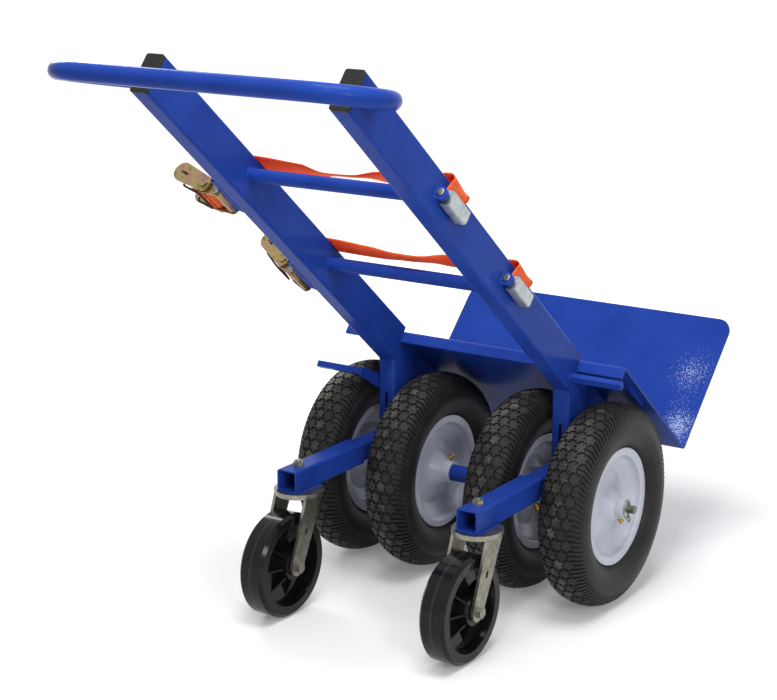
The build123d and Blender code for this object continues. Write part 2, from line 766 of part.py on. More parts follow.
def make_roll():
    # The strap's inner end, wound on the spool in half turns of growing radius.
    band = Curve()
    for half_turn in range(roll_half_turns):
        radius = roll_start + half_turn * roll_pitch / 2
        up = 1 if half_turn % 2 == 0 else -1
        middle = -up * roll_pitch / 4
        reach = up * radius
        band += ThreePointArc((middle + reach, 0), (middle, reach), (middle - reach, 0))
    # Each turn lies one pitch outside the turn before it, measured at the same angles.
    inner, outer = band.edges()[0], band.edges()[2]
    steps = [step / 16 for step in range(17)]
    least = min((outer @ step - inner @ step).length for step in steps) - strap_thickness
    print("least gap between the wound turns:", round(least, 3), "mm")
    return extrude(trace(band, line_width=strap_thickness), strap_half, both=True)


def make_ratchet_handle():
    outline = hull_of((0, 0, handle_pivot_radius), (handle_end_reach, 0, handle_end_radius))
    outline -= Circle(spool_diameter / 2 + running_clearance)
    slot_length = pull_width + pull_travel + 2 * end_play
    slot = Rectangle(slot_length, pull_thickness + 2 * end_play)
    outline -= Pos(pull_reach + pull_travel / 2, 0) * slot
    grip = Pos(grip_reach, 0, 0) * Cylinder(grip_diameter / 2, 2 * handle_high)
    return both_sides(outline, handle_low, handle_high) + grip


def make_pull():
    # The pawl bar in the handle's slots, with a wire bail to pull it by.
    bar = Pos(pull_reach, 0, 0) * Box(pull_width, pull_thickness, 2 * (handle_high + ratchet_gauge))
    side = bail_width / 2
    wire = FilletPolyline(
        (pull_reach, 0, -side),
        (pull_reach, bail_offset, -side),
        (bail_near, bail_offset, -side),
        (bail_near, bail_offset, side),
        (pull_reach, bail_offset, side),
        (pull_reach, 0, side),
        radius=bail_wire,
    )
    start = Plane(origin=(pull_reach, 0, -side), z_dir=(0, 1, 0))
    return bar + sweep(start * Circle(bail_wire / 2), wire.wire())


def make_mount(along):
    # A flat bar on the left rail's side with the knuckle for the ratchet's bolt.
    bar_out = ratchet_pin_out - frame_pin_radius - mount_relief
    bar = Pos(-rail_outer, ratchet_pin_depth, along) * Box(
        bar_out, mount_gauge, mount_length, align=(Align.MAX, Align.CENTER, Align.CENTER)
    )
    knuckle_length = ratchet_inside - 2 * end_play
    middle = along + ratchet_offset
    neck = Pos(-rail_outer, ratchet_pin_depth, middle) * Box(
        ratchet_pin_out, mount_gauge, knuckle_length, align=(Align.MAX, Align.CENTER, Align.CENTER)
    )
    at_pin = Pos(ratchet_pin_x, ratchet_pin_depth, middle)
    knuckle = at_pin * Cylinder(knuckle_diameter / 2, knuckle_length)
    hole = at_pin * Cylinder(anchor_pin_diameter / 2, 2 * knuckle_length)
    return bar + neck + knuckle - hole


def make_ear(along):
    # A rounded lug on the right rail's side, above the clip.
    radius = ear_diameter / 2
    edge = Line((rail_outer, -radius), (anchor_pin_x, -radius))
    edge += ThreePointArc((anchor_pin_x, -radius), (anchor_pin_x + radius, 0), (anchor_pin_x, radius))
    edge += Polyline((anchor_pin_x, radius), (rail_outer, radius), (rail_outer, -radius))
    outline = make_face(edge) - Pos(anchor_pin_x, 0) * Circle(anchor_pin_diameter / 2)
    low = along + anchor_offset + clip_length / 2
    return slab(outline, low, low + ear_thickness)


def make_clip(along):
    # A folded cover round the strap's loop: a trough with a drilled plate across each end.
    near = rail_outer + clip_mouth
    far = near + clip_depth
    half = clip_width / 2
    trough = FilletPolyline(
        (near, half - clip_gauge / 2),
        (far - clip_gauge / 2, half - clip_gauge / 2),
        (far - clip_gauge / 2, clip_gauge / 2 - half),
        (near, clip_gauge / 2 - half),
        radius=2 * clip_gauge,
    )
    middle = along + anchor_offset - clip_drop
    high = middle + clip_length / 2
    low = middle - clip_length / 2
    clip = slab(trace(trough, line_width=clip_gauge), low, high)
    corner = 3 * clip_gauge
    end = hull_of(
        (anchor_pin_x, 0, anchor_pin_diameter / 2 + clip_gauge),
        (far - corner, half - corner, corner),
        (far - corner, corner - half, corner),
    )
    end -= Pos(anchor_pin_x, 0) * Circle(anchor_pin_diameter / 2)
    return clip + slab(end, low, low + clip_gauge) + slab(end, high - clip_gauge, high)


def make_bolt(low, high):
    # A bolt along z with a round head above the upper seat and another below the lower one.
    shank = Pos(0, 0, low) * Cylinder(
        anchor_pin_diameter / 2, high - low, align=(Align.CENTER, Align.CENTER, Align.MIN)
    )
    head = Cylinder(
        bolt_head_diameter / 2, bolt_head_height, align=(Align.CENTER, Align.CENTER, Align.MIN)
    )
    head = fillet(head.edges().group_by(Axis.Z)[-1], bolt_head_round)
    return shank + Pos(0, 0, high) * head + Pos(0, 0, low) * mirror(head, Plane.XY)


ratchet_frame = make_ratchet_frame()
ratchet_handle = make_ratchet_handle()
spool = make_spool()
roll = make_roll()
pull = make_pull()
frame_outside = frame_plate + ratchet_gauge
ratchet_bolt = Pos(-spool_reach, 0, 0) * make_bolt(-frame_outside, frame_outside)
brackets, clips, bolts = [], [], []
for name, along, swing_degrees in zip(strap_names, strap_at, ratchet_swing):
    swing = radians(swing_degrees)
    place = ratchet_place(along, swing)
    strap = [make_strap(along, swing)]
    if name == tail_on:
        tail = Pos(tail_start, roll_outer + soft_clearance, 0) * Box(
            tail_length, strap_thickness, strap_width, align=(Align.MIN, Align.MIN, Align.CENTER)
        )
        strap.append(place * tail)
    keep(f"{name}_strap", *strap)
    keep(f"{name}_ratchet_frame", place * ratchet_frame)
    keep(f"{name}_ratchet_handle", place * ratchet_handle)
    keep(f"{name}_ratchet_spool", place * spool)
    keep(f"{name}_webbing_roll", place * roll)
    keep(f"{name}_release_pull", place * pull)
    brackets += [rail_frame * make_mount(along), rail_frame * make_ear(along)]
    clips.append(rail_frame * make_clip(along))
    ear_top = along + anchor_offset + clip_length / 2 + ear_thickness
    clip_low = along + anchor_offset - clip_drop - clip_length / 2
    anchor_bolt = make_bolt(clip_low, ear_top)
    bolts += [place * ratchet_bolt, rail_frame * Pos(anchor_pin_x, 0, 0) * anchor_bolt]
keep("strap_brackets", *brackets)
keep("anchor_clips", *clips)
keep("strap_bolts", *bolts)

os.makedirs("parts", exist_ok=True)
for name, shape in nodes.items():
    export_step(shape, f"parts/{name}.step")
print(len(nodes), "nodes, axle line at y =", round(part_shift, 2))
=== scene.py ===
import json
from math import asin, atan2, cos, pi, radians, sin, sqrt

import bmesh
import bpy
from mathutils import Matrix, Vector


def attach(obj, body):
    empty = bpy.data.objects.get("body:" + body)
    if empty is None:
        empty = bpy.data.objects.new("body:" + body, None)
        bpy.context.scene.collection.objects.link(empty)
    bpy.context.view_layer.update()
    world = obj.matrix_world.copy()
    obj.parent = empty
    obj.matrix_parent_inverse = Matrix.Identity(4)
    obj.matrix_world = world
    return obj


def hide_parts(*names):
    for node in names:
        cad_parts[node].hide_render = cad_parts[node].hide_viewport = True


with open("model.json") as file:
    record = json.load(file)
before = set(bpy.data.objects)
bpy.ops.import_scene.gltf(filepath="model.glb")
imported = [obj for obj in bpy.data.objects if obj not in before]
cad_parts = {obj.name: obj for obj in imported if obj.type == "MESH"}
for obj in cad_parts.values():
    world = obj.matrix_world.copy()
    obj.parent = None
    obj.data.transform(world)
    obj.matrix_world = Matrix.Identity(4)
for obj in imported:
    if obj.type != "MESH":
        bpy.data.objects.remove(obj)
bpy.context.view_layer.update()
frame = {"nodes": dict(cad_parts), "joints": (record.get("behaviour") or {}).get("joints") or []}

mm = 0.001
joints = {joint["name"]: joint for joint in frame["joints"]}
print("frame loaded:", len(frame["nodes"]), "nodes")


# colours and nodes
def linear(hexColour):
    channels = [int(hexColour[i:i + 2], 16) / 255 for i in (1, 3, 5)]
    return [c / 12.92 if c <= 0.04045 else ((c + 0.055) / 1.055) ** 2.4 for c in channels] + [1]


def addNode(tree, kind, values=None, links=None, **settings):
    node = tree.nodes.new(kind)
    for name, value in settings.items():
        setattr(node, name, value)
    for name, value in (values or {}).items():
        node.inputs[name].default_value = value
    for name, socket in (links or {}).items():
        tree.links.new(socket, node.inputs[name])
    return node


def startMaterial(name, values):
    material = bpy.data.materials.new(name)
    material.use_nodes = True
    tree = material.node_tree
    shader = tree.nodes["Principled BSDF"]
    for socket, value in values.items():
        shader.inputs[socket].default_value = value
    return material, tree, shader


grainRise = 0.3 * mm  # height of the finest relief in a finish


def perMetre(size):
    return 1 / (size * mm)  # a pattern's scale, for features of that many millimetres


def setRamp(node, stops):
    ramp = node.color_ramp
    while len(ramp.elements) < len(stops):
        ramp.elements.new(0.5)
    for element, (place, colour) in zip(ramp.elements, stops):
        element.position = place
        element.color = linear(colour) if isinstance(colour, str) else (colour, colour, colour, 1)


def between(stops, x):
    # eased value between the (place, value) stops
    if x <= stops[0][0]:
        return stops[0][1]
    for (low, first), (high, second) in zip(stops, stops[1:]):
        if x <= high:
            share = (x - low) / (high - low)
            return first + (second - first) * share * share * (3 - 2 * share)
    return stops[-1][1]


axleY = joints["left_outer_wheel_spin"]["pos_m"][1]


def atAxle(x, y, z):
    # millimetres from the point on the floor below the middle of the axle
    return Vector((x * mm, y * mm + axleY, z * mm))


# gloss powder coat over welded steel: deep blue, a faint orange peel and a slightly uneven tone
# its IOR is lower than a real coat's, so that the white studio reflects as little as in the photograph
coatLook = {
    "shader": {"Roughness": 0.18, "IOR": 1.13}, "tone": "#2545A0", "deep": "#203C93", "patch": 90,
    "peel": 2.6, "peelRise": 0.4, "relief": 0.1,
    # pale flecks: painted glints of light on the textured coat, and scuffs
    "paleFleck": "#AEBCDD", "fleck": 2.4, "unflecked": 0.72, "fleckEdge": 7,
}
# where the toe plate gets pale flecks: painted glints of light on its coat, and scuffs
toeGlintsAndScuffs = [  # middle, reach and the flecks' threshold there
    (atAxle(272, 395, 370), 84, 0.47), (atAxle(276, 345, 320), 60, 0.56), (atAxle(288, 306, 280), 72, 0.39),
]


def makeBluePowderCoat(name, glintsAndScuffs=()):
    material, tree, shader = startMaterial(name, coatLook["shader"])
    coords = addNode(tree, "ShaderNodeTexCoord")
    patches = addNode(
        tree, "ShaderNodeTexNoise", {"Scale": perMetre(coatLook["patch"]), "Detail": 3},
        {"Vector": coords.outputs["Object"]},
    )
    tone = addNode(tree, "ShaderNodeValToRGB", links={"Fac": patches.outputs["Fac"]})
    setRamp(tone, [(0.3, coatLook["deep"]), (0.7, coatLook["tone"])])
    colour = tone.outputs["Color"]
    if glintsAndScuffs:  # pale flecks, thickest at the middle of each patch: painted glints of light on the coat, and scuffs
        flecks = addNode(
            tree, "ShaderNodeTexNoise", {"Scale": perMetre(coatLook["fleck"]), "Detail": 3},
            {"Vector": coords.outputs["Object"]},
        )
        limits = []
        for place, reach, least in glintsAndScuffs:
            away = addNode(
                tree, "ShaderNodeVectorMath", {1: place}, {0: coords.outputs["Object"]}, operation="DISTANCE"
            )
            limits.append(addNode(
                tree, "ShaderNodeMapRange",
                {"From Max": reach * mm, "To Min": least, "To Max": coatLook["unflecked"]},
                {"Value": away.outputs["Value"]},
            ).outputs["Result"])
        limit = limits[0]
        for other in limits[1:]:
            lower = addNode(tree, "ShaderNodeMath", links={0: limit, 1: other}, operation="MINIMUM")
            limit = lower.outputs["Value"]
        over = addNode(
            tree, "ShaderNodeMath", links={0: flecks.outputs["Fac"], 1: limit}, operation="SUBTRACT"
        )
        paleFleck = addNode(
            tree, "ShaderNodeMath", {1: coatLook["fleckEdge"]}, {0: over.outputs["Value"]},
            operation="MULTIPLY", use_clamp=True,
        )
        flecked = addNode(
            tree, "ShaderNodeMix", {7: linear(coatLook["paleFleck"])}, {0: paleFleck.outputs["Value"], 6: colour},
            data_type="RGBA",
        )
        colour = flecked.outputs[2]
    peel = addNode(
        tree, "ShaderNodeTexNoise", {"Scale": perMetre(coatLook["peel"]), "Detail": 2},
        {"Vector": coords.outputs["Object"]},
    )
    bump = addNode(
        tree, "ShaderNodeBump", {"Strength": coatLook["relief"], "Distance": coatLook["peelRise"] * mm},
        {"Height": peel.outputs["Fac"]},
    )
    tree.links.new(colour, shader.inputs["Base Color"])
    tree.links.new(bump.outputs["Normal"], shader.inputs["Normal"])
    return material


# moulded tyre rubber: black, dry, with road dust that is thickest on the tops of the middle tread blocks
rubberLook = {
    "shader": {"Roughness": 0.5, "IOR": 1.3}, "black": "#1C1B1B", "bloom": "#2A2828", "bloomSize": 60,
    "dust": "#6E675C", "dustSize": 26, "dustShare": [(0.44, 0.06), (0.72, 0.65)],
    "grain": 1.5, "relief": 0.15,
}


def makeTyreRubber():
    material, tree, shader = startMaterial("mouldedTyreRubber", rubberLook["shader"])
    coords = addNode(tree, "ShaderNodeTexCoord")
    bloom = addNode(
        tree, "ShaderNodeTexNoise", {"Scale": perMetre(rubberLook["bloomSize"]), "Detail": 4},
        {"Vector": coords.outputs["Object"]},
    )
    base = addNode(tree, "ShaderNodeValToRGB", links={"Fac": bloom.outputs["Fac"]})
    setRamp(base, [(0.35, rubberLook["black"]), (0.75, rubberLook["bloom"])])
    patches = addNode(
        tree, "ShaderNodeTexNoise", {"Scale": perMetre(rubberLook["dustSize"]), "Detail": 3},
        {"Vector": coords.outputs["Object"]},
    )
    share = addNode(tree, "ShaderNodeValToRGB", links={"Fac": patches.outputs["Fac"]})
    setRamp(share, rubberLook["dustShare"])
    worn = addNode(tree, "ShaderNodeAttribute", attribute_name="dust")
    amount = addNode(
        tree, "ShaderNodeMath", links={0: share.outputs["Color"], 1: worn.outputs["Fac"]},
        operation="MULTIPLY",
    )
    dusty = addNode(
        tree, "ShaderNodeMix", {7: linear(rubberLook["dust"])},
        {0: amount.outputs["Value"], 6: base.outputs["Color"]}, data_type="RGBA",
    )
    grain = addNode(
        tree, "ShaderNodeTexNoise", {"Scale": perMetre(rubberLook["grain"]), "Detail": 2},
        {"Vector": coords.outputs["Object"]},
    )
    bump = addNode(
        tree, "ShaderNodeBump", {"Strength": rubberLook["relief"], "Distance": grainRise},
        {"Height": grain.outputs["Fac"]},
    )
    tree.links.new(dusty.outputs[2], shader.inputs["Base Color"])
    tree.links.new(bump.outputs["Normal"], shader.inputs["Normal"])
    return material


# a plain finish: one noise gives its tone and gloss, and a finer one its grain
def makeFinish(name, look):
    material, tree, shader = startMaterial(name, look["shader"])
    coords = addNode(tree, "ShaderNodeTexCoord")
    spread = addNode(
        tree, "ShaderNodeMapping", {"Scale": look.get("stretch", (1, 1, 1))},
        {"Vector": coords.outputs["Object"]},
    )
    patches = addNode(
        tree, "ShaderNodeTexNoise", {"Scale": perMetre(look["patch"]), "Detail": 4},
        {"Vector": spread.outputs["Vector"]},
    )
    tone = addNode(tree, "ShaderNodeValToRGB", links={"Fac": patches.outputs["Fac"]})
    setRamp(tone, look["tones"])
    colour = tone.outputs["Color"]
    if "mouldLine" in look:  # a paler line round the middle of each wheel, at this x on both sides
        apart = addNode(tree, "ShaderNodeSeparateXYZ", links={"Vector": coords.outputs["Object"]})
        size = addNode(tree, "ShaderNodeMath", links={0: apart.outputs["X"]}, operation="ABSOLUTE")
        onLine = addNode(
            tree, "ShaderNodeMath", {1: look["mouldLine"] * mm, 2: look["lineHalf"] * mm},
            {0: size.outputs["Value"]}, operation="COMPARE",
        )
        lined = addNode(
            tree, "ShaderNodeMix", {7: linear(look["lineTone"])}, {0: onLine.outputs["Value"], 6: colour},
            data_type="RGBA",
        )
        colour = lined.outputs[2]
    gloss = addNode(
        tree, "ShaderNodeMapRange", {"To Min": look["gloss"][0], "To Max": look["gloss"][1]},
        {"Value": patches.outputs["Fac"]},
    )
    grain = addNode(
        tree, "ShaderNodeTexNoise", {"Scale": perMetre(look["grain"]), "Detail": 3},
        {"Vector": spread.outputs["Vector"]},
    )
    bump = addNode(
        tree, "ShaderNodeBump", {"Strength": look["relief"], "Distance": grainRise},
        {"Height": grain.outputs["Fac"]},
    )
    tree.links.new(colour, shader.inputs["Base Color"])
    tree.links.new(gloss.outputs["Result"], shader.inputs["Roughness"])
    tree.links.new(bump.outputs["Normal"], shader.inputs["Normal"])
    return material


finishLooks = {
    # satin baked enamel on pressed steel: cool pale grey, faint drawing marks
    "rimEnamel": {
        "shader": {"IOR": 1.45}, "patch": 70, "grain": 5, "relief": 0.06,
        "tones": [(0.3, "#BFC4D1"), (0.7, "#CED2DE")], "gloss": (0.2, 0.32),
    },
    # clear zinc plate on forged and pressed steel: satin grey with a warm cast
    "zincPlate": {
        "shader": {"Metallic": 1}, "patch": 14, "grain": 2.2, "relief": 0.12,
        "tones": [(0.25, "#706D62"), (0.55, "#908D81"), (0.8, "#A7A59A")], "gloss": (0.3, 0.48),
    },
    # bright zinc on folded sheet: pale silver, a little cloudy
    "brightZinc": {
        "shader": {"Metallic": 1}, "patch": 9, "grain": 1.6, "relief": 0.1,
        "tones": [(0.3, "#A0A7A8"), (0.7, "#BEC4C5")], "gloss": (0.36, 0.5),
    },
    # yellow chromate on pressed steel: muted straw with olive and rose clouds
    "yellowChromate": {
        "shader": {"Metallic": 1}, "patch": 18, "grain": 1.8, "relief": 0.1,
        "tones": [(0.3, "#6C6A44"), (0.44, "#A08F5E"), (0.56, "#A3836B"), (0.7, "#8E6C6E")],
        "gloss": (0.3, 0.46),
    },
    # cold drawn bar, oiled: dark grey with fine lines along the bar
    "oiledBar": {
        "shader": {"Metallic": 1}, "patch": 6, "grain": 1.2, "relief": 0.15, "stretch": (0.15, 1, 1),
        "tones": [(0.3, "#5E5B55"), (0.7, "#7E7B74")], "gloss": (0.3, 0.5),
    },
    # turned brass, dulled: warm yellow brown
    "dullBrass": {
        "shader": {"Metallic": 1}, "patch": 4, "grain": 0.8, "relief": 0.15,
        "tones": [(0.3, "#9A7434"), (0.7, "#C79B4B")], "gloss": (0.28, 0.42),
    },
    # moulded phenolic: glossy black with faint flow marks and a paler mould line
    "mouldedPhenolic": {
        "shader": {"IOR": 1.28}, "patch": 30, "grain": 3, "relief": 0.05, "stretch": (3, 1, 1),
        "tones": [(0.3, "#0E0E10"), (0.75, "#191818")], "gloss": (0.08, 0.18),
        "mouldLine": 201, "lineHalf": 2.2, "lineTone": "#2B2927",
    },
    # moulded polyethylene cap: nearly black with a fine spark texture
    "capPolyethylene": {
        "shader": {"IOR": 1.3}, "patch": 20, "grain": 1.0, "relief": 0.3,
        "tones": [(0.3, "#131314"), (0.7, "#1D1C1C")], "gloss": (0.42, 0.55),
    },
    # black oxide on spring wire: brown black, satin
    "blackOxide": {
        "shader": {"Metallic": 0.6}, "patch": 8, "grain": 1.0, "relief": 0.1,
        "tones": [(0.3, "#1E1A17"), (0.7, "#38302A")], "gloss": (0.35, 0.5),
    },
}
finishes = {name: makeFinish(name, look) for name, look in finishLooks.items()}
finishes["bluePowderCoat"] = makeBluePowderCoat("bluePowderCoat")
# the toe plate's coat carries pale flecks: painted glints of light, and scuffs
finishes["scuffedPowderCoat"] = makeBluePowderCoat("scuffedPowderCoat", toeGlintsAndScuffs)
finishes["mouldedTyreRubber"] = makeTyreRubber()

# woven polyester webbing: ribs run along the band, weft steps across it, drawn coarse enough to show
webbingLook = {
    "shader": {
        "Roughness": 0.7, "IOR": 1.4, "Subsurface Weight": 1, "Subsurface Radius": (1, 0.3, 0.15),
        "Subsurface Scale": 5 * mm,
    },
    "bright": "#FF7036", "deep": "#FA5A24", "rib": 5.0, "ribWaver": 0.4, "weft": 3.0, "weftWaver": 0.6,
    "relief": 0.2,
}
waveRate = 20  # a Wave texture turns by this many radians a unit, and half a wave makes a rib


def makeWebbing():
    look = webbingLook
    material, tree, shader = startMaterial("wovenPolyester", look["shader"])
    band = addNode(tree, "ShaderNodeUVMap", uv_map="band")  # metres along and across the strap
    ribs = addNode(
        tree, "ShaderNodeTexWave",
        {"Scale": perMetre(look["rib"]) / waveRate * pi, "Distortion": look["ribWaver"]},
        {"Vector": band.outputs["UV"]}, bands_direction="Y",
    )
    weft = addNode(
        tree, "ShaderNodeTexWave",
        {"Scale": perMetre(look["weft"]) / waveRate * pi, "Distortion": look["weftWaver"]},
        {"Vector": band.outputs["UV"]}, bands_direction="X",
    )
    weave = addNode(
        tree, "ShaderNodeMath", links={0: ribs.outputs["Fac"], 1: weft.outputs["Fac"]}, operation="MULTIPLY"
    )
    tone = addNode(tree, "ShaderNodeValToRGB", links={"Fac": weave.outputs["Value"]})
    setRamp(tone, [(0.0, look["deep"]), (0.6, look["bright"])])
    bump = addNode(
        tree, "ShaderNodeBump", {"Strength": look["relief"], "Distance": grainRise},
        {"Height": weave.outputs["Value"]},
    )
    tree.links.new(tone.outputs["Color"], shader.inputs["Base Color"])
    tree.links.new(bump.outputs["Normal"], shader.inputs["Normal"])
    return material


finishes["wovenPolyester"] = makeWebbing()
print("finishes made:", len(finishes))

# which finish each CAD node shows, by a word in its name
finishWords = {
    "rim": "rimEnamel", "tyre": "mouldedTyreRubber", "bearing": "oiledBar", "valve": "dullBrass",
    "fork": "zincPlate", "top_plates": "zincPlate", "caster_axle": "zincPlate",
    "caster_wheel": "mouldedPhenolic", "caps": "capPolyethylene", "spacers": "zincPlate",
    "washers": "brightZinc", "cotter": "zincPlate", "bolts": "zincPlate", "clips": "brightZinc",
    "ratchet": "yellowChromate", "pull": "blackOxide", "webbing": "wovenPolyester",
    "_strap": "wovenPolyester",
}
nodeFinish = {node: "bluePowderCoat" for node in frame["nodes"]}
for word, finish in finishWords.items():
    for node in nodeFinish:
        if word in node:
            nodeFinish[node] = finish
nodeFinish["axle"] = "oiledBar"
# the toe plate shows painted glints of light, and scuffs
nodeFinish["nose_plate"] = "scuffedPowderCoat"
for node, finish in nodeFinish.items():
    for slot in frame["nodes"][node].material_slots:
        slot.material = finishes[finish]


def finishPiece(name, bm, finish, body, smooth=35):
    # edges that turn by more than smooth, in degrees, stay sharp
    mesh = bpy.data.meshes.new(name)
    bm.to_mesh(mesh)
    bm.free()
    mesh.materials.append(finishes[finish])
    piece = bpy.data.objects.new(name, mesh)
    bpy.context.scene.collection.objects.link(piece)
    mesh.shade_smooth()
    mesh.set_sharp_from_angle(angle=radians(smooth))
    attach(piece, body)
    return piece


# tyres: a spun casing, then rows of star blocks and slanted shoulder lugs standing on it
tyreShape = {
    "radius": 199.8, "treadHalf": 38, "treadDrop": 12, "half": 49.1, "flange": 115, "lip": 116,
    "beadHalf": 28.6, "heel": 102, "heelCut": 4, "ringSteps": (3, 4), "ringRise": 0.6,
    "steps": 145, "wallSteps": 12, "crownSteps": 10, "groove": 3.6, "sunk": 0.5, "rows": 58, "rowPitch": 20.2,
    "starOuter": 10.5, "starInner": 6.7, "points": 6, "stretch": 1.14, "topScale": 0.94,
    "wornReach": 8, "sideDust": 0.12, "lugWidth": 6.8, "lugTop": 0.8, "lugSteps": 5, "lugSink": 0.4,
    "lugStart": -3, "lugLongStart": -13, "lugEnd": 19, "slant": 9,
}
# how deep the grooves are below the skin, by the distance past the shoulder
grooveDepth = [(-12, 3.6), (-2, 3.2), (13, 2.6), (20, 0)]


def arcBend(out, rise):
    # radius of the arc that rises that far and falls back by out
    return (out * out + rise * rise) / (2 * out)


shoulder = tyreShape["radius"] - tyreShape["treadDrop"]
wallMiddle = (tyreShape["flange"] + shoulder) / 2
crownBend = arcBend(tyreShape["treadDrop"], tyreShape["treadHalf"])
wallBend = arcBend(tyreShape["half"] - tyreShape["treadHalf"], shoulder - wallMiddle)
beadBend = arcBend(tyreShape["half"] - tyreShape["beadHalf"], wallMiddle - tyreShape["lip"])
crownTurn = asin(tyreShape["treadHalf"] / crownBend)
wallTurn = asin((shoulder - wallMiddle) / wallBend)


def crownHeight(x):
    return tyreShape["radius"] - crownBend + sqrt(crownBend ** 2 - x ** 2)  # the tread's arc across the tyre


def underSkin(past, depth):
    # a point below the tyre's skin: past the shoulder it is on the wall, before it on the crown
    if past < 0:
        turn = pi / 2 - crownTurn - past / crownBend
        middle, bend = Vector((0, 0, tyreShape["radius"] - crownBend)), crownBend
    else:
        turn = wallTurn - past / wallBend
        middle, bend = Vector((tyreShape["half"] - wallBend, 0, wallMiddle)), wallBend
    return middle + Vector((cos(turn), 0, sin(turn))) * (bend - depth)


def casingProfile():
    # one half of the casing's section, from the bead to the middle of the crown
    t = tyreShape
    low = asin((wallMiddle - t["lip"]) / beadBend)
    cut = t["heelCut"]
    points = [Vector((t["beadHalf"] - cut, 0, t["heel"])), Vector((t["beadHalf"], 0, t["heel"] + cut))]
    for step in range(t["wallSteps"]):
        turn = -low * (1 - step / t["wallSteps"])
        # a raised ring above the rim's edge
        bend = beadBend - (0 if step in t["ringSteps"] else t["ringRise"])
        points.append(Vector((t["half"] - beadBend + bend * cos(turn), 0, wallMiddle + bend * sin(turn))))
    for step in range(t["wallSteps"]):
        past = wallTurn * wallBend * (1 - step / t["wallSteps"])
        points.append(underSkin(past, between(grooveDepth, past)))
    for step in range(1, t["crownSteps"] + 1):
        past = -crownTurn * crownBend * step / t["crownSteps"]
        points.append(underSkin(past, between(grooveDepth, past)))
    return points


def starBlock(bm, dust, x, turn):
    # one block with blunt points and notches between them, narrower at its top, which follows the crown
    t = tyreShape
    corners = 3 * t["points"]
    ring = bmesh.ops.create_circle(bm, cap_ends=True, radius=t["starOuter"], segments=corners)["verts"]
    bmesh.ops.rotate(bm, verts=ring, cent=(0, 0, 0), matrix=Matrix.Rotation(pi / corners, 3, "Z"))
    bmesh.ops.scale(bm, verts=ring[1::3], vec=[t["starInner"] / t["starOuter"]] * 3)
    bmesh.ops.scale(bm, verts=ring, vec=(1, t["stretch"], 1))
    foot = list({face for vert in ring for face in vert.link_faces})
    raised = bmesh.ops.extrude_face_region(bm, geom=foot)["geom"]
    lid = [part for part in raised if isinstance(part, bmesh.types.BMFace)]
    top = [part for part in raised if isinstance(part, bmesh.types.BMVert)]
    bmesh.ops.scale(bm, verts=top, vec=(t["topScale"], t["topScale"], 1))
    top += bmesh.ops.poke(bm, faces=lid)["verts"]
    bmesh.ops.delete(bm, geom=[face for face in foot if face.is_valid], context="FACES_ONLY")
    block = list(ring) + top
    worn = 1 if abs(x) < t["wornReach"] else t["sideDust"]
    for vert in block:
        raisedPart = vert in top
        height = crownHeight(x + vert.co.x) - (0 if raisedPart else t["groove"] + t["sunk"])
        vert.co = Vector((x + vert.co.x, vert.co.y, sqrt(height ** 2 - vert.co.y ** 2)))
        vert[dust] = worn if raisedPart else 0
    bmesh.ops.transform(bm, matrix=Matrix.Rotation(turn, 4, "X"), verts=block)
    return block


def shoulderLug(bm, side, turn, start):
    # a slanted bar that bends over the shoulder: a strip laid under the skin, then raised to it
    t = tyreShape
    strip = bmesh.ops.create_grid(bm, x_segments=t["lugSteps"], y_segments=1, size=1)["verts"]
    faces = list({face for vert in strip for face in vert.link_faces})
    raised = bmesh.ops.extrude_face_region(bm, geom=faces)["geom"]
    top = [part for part in raised if isinstance(part, bmesh.types.BMVert)]
    bmesh.ops.delete(bm, geom=[face for face in faces if face.is_valid], context="FACES_ONLY")
    lug = list(strip) + top
    for vert in lug:
        along = (vert.co.x + 1) / 2
        past = start + (t["lugEnd"] - start) * along
        depth = t["lugSink"] * along ** 4 if vert in top else between(grooveDepth, past) + t["sunk"]
        width = t["lugWidth"] * (t["lugTop"] if vert in top else 1)
        place = underSkin(past, depth)
        lean = t["slant"] * max(past - t["lugStart"], 0) / (t["lugEnd"] - t["lugStart"])
        vert.co = Vector((side * place.x, vert.co.y * width / 2 - lean, place.z))
    bmesh.ops.transform(bm, matrix=Matrix.Rotation(turn, 4, "X"), verts=lug)
    return lug


def repeatRound(bm, verts, count):
    # copies of some vertices and their faces, all the way round the axle
    faces = list({face for vert in verts for face in vert.link_faces})
    edges = list({edge for face in faces for edge in face.edges})
    bmesh.ops.spin(
        bm, geom=list(verts) + edges + faces, cent=(0, 0, 0), axis=(1, 0, 0),
        angle=2 * pi * (count - 1) / count, steps=count - 1, use_duplicate=True,
    )


def buildTyre(name, centre, roll):
    t = tyreShape
    bm = bmesh.new()
    dust = bm.verts.layers.float.new("dust")
    half = casingProfile()
    section = half + [Vector((-p.x, 0, p.z)) for p in reversed(half[:-1])]
    verts = [bm.verts.new(p) for p in section]
    edges = [bm.edges.new(pair) for pair in zip(verts, verts[1:])]
    bmesh.ops.spin(
        bm, geom=verts + edges, cent=(0, 0, 0), axis=(1, 0, 0), angle=2 * pi, steps=t["steps"],
        use_merge=True,
    )
    rowTurn = 2 * pi / t["rows"]
    for row, shift in enumerate((-0.25, 0.25)):  # neighbouring rows are half a pitch apart
        for column in (-1, 0, 1):
            block = starBlock(bm, dust, (column + shift) * t["rowPitch"], row * rowTurn)
            repeatRound(bm, block, t["rows"] // 2)
        for side in (-1, 1):
            # shorter beside the row's outer star
            start = t["lugStart"] if side * shift > 0 else t["lugLongStart"]
            for quarter in (-0.25, 0.25):
                lug = shoulderLug(bm, side, (row + quarter) * rowTurn, start)
                repeatRound(bm, lug, t["rows"] // 2)
    bmesh.ops.recalc_face_normals(bm, faces=bm.faces)
    place = Matrix.Translation(centre) @ Matrix.Rotation(roll, 4, "X") @ Matrix.Scale(mm, 4)
    bmesh.ops.transform(bm, matrix=place, verts=bm.verts)
    tyre = finishPiece(f"{name}_treaded_tyre", bm, "mouldedTyreRubber", f"{name}_wheel")
    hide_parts(f"{name}_tyre")


